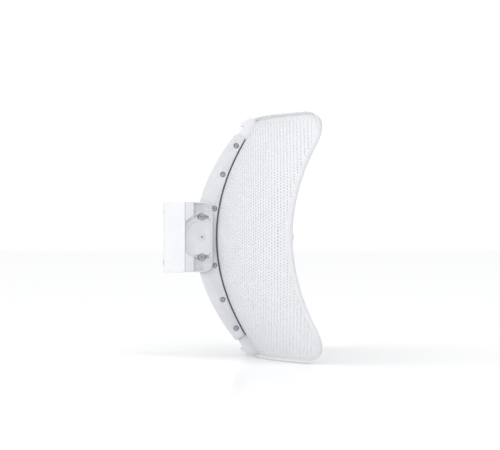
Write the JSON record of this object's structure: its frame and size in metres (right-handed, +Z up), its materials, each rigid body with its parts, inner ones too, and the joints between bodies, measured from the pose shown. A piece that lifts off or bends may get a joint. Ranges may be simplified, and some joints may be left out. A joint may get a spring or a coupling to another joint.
{
  "type": "outdoor wireless bridge",
  "caption": "Outdoor wireless bridge: a wide perforated parabolic reflector on a curved spine, a radio feed in front and a tilting pole clamp behind.",
  "frame": {"origin": "on the pole's axis at the clamp's mid-height", "axes": "+Z up the pole, +Y the way the reflector faces at zero tilt, +X across it"},
  "size_m": [0.5918, 0.2902, 0.451],
  "materials": {
    "powder_coat": "satin",
    "moulded_grey": "satin",
    "moulded_white": "satin",
    "radome_white": "satin",
    "zinc_steel": "satin",
    "black_rubber": "matte",
    "grey_rubber": "matte",
    "circuit_board": "satin",
    "tinplate": "satin",
    "copper": "satin",
    "jack_plastic": "matte",
    "light_lens": "gloss"
  },
  "bodies": {
    "pole_mount": {"clamp_nut_lower_left": "zinc_steel", "clamp_nut_lower_right": "zinc_steel", "clamp_nut_upper_left": "zinc_steel", "clamp_nut_upper_right": "zinc_steel", "pivot_pin_left": "moulded_grey", "pivot_pin_right": "moulded_grey", "pole_yoke": "moulded_grey"},
    "rear_jaw_assembly": {"clamp_bolt_lower_left": "zinc_steel", "clamp_bolt_lower_right": "zinc_steel", "clamp_bolt_upper_left": "zinc_steel", "clamp_bolt_upper_right": "zinc_steel", "rear_jaw": "moulded_white"},
    "dish": {"door_pin": "zinc_steel", "edge_seal_left": "grey_rubber", "edge_seal_right": "grey_rubber", "feed_base": "moulded_white", "feed_collar": "moulded_white", "feed_housing": "radome_white", "feed_nose": "radome_white", "housing_screw_lower": "zinc_steel", "housing_screw_upper": "zinc_steel", "network_jack": "jack_plastic", "nose_seal": "black_rubber", "port_gasket": "black_rubber", "radiator_board": "circuit_board", "radio_board": "circuit_board", "reflector_left": "powder_coat", "reflector_right": "powder_coat", "shield_can": "tinplate", "side_plate_left": "moulded_grey", "side_plate_right": "moulded_grey", "spine_cap_lower": "moulded_white", "spine_cap_upper": "moulded_white", "spine_channel": "moulded_white", "spine_screw_lower_left_1": "zinc_steel", "spine_screw_lower_left_2": "zinc_steel", "spine_screw_lower_left_3": "zinc_steel", "spine_screw_lower_right_1": "zinc_steel", "spine_screw_lower_right_2": "zinc_steel", "spine_screw_lower_right_3": "zinc_steel", "spine_screw_upper_left_1": "zinc_steel", "spine_screw_upper_left_2": "zinc_steel", "spine_screw_upper_left_3": "zinc_steel", "spine_screw_upper_right_1": "zinc_steel", "spine_screw_upper_right_2": "zinc_steel", "spine_screw_upper_right_3": "zinc_steel", "status_light_window": "light_lens", "sub_reflector": "copper", "tilt_bolt_lower": "zinc_steel", "tilt_bolt_upper": "zinc_steel", "tilt_nut_lower": "zinc_steel", "tilt_nut_upper": "zinc_steel", "waveguide": "tinplate"},
    "port_cover": {"port_door": "moulded_white"},
    "reset_key": {"reset_button": "moulded_white"}
  },
  "joints": [
    {"name": "tilt", "type": "hinge", "parent": "pole_mount", "child": "dish", "pos_m": [0, 0.0426, 0], "axis": [1, 0, 0], "range_deg": [-14, 14]},
    {"name": "jaw_slide", "type": "slide", "parent": "pole_mount", "child": "rear_jaw_assembly", "axis": [0, -1, 0], "range_m": [0, 0.01]},
    {"name": "port_cover_hinge", "type": "hinge", "parent": "dish", "child": "port_cover", "pos_m": [0, 0.0499, -0.0106], "axis": [1, 0, 0], "range_deg": [0, 80]},
    {"name": "reset_press", "type": "slide", "parent": "dish", "child": "reset_key", "axis": [0, 0, 1], "range_m": [0, 0.0008], "stiffness_N_per_m": 500, "springref_m": -0.0004}
  ]
}
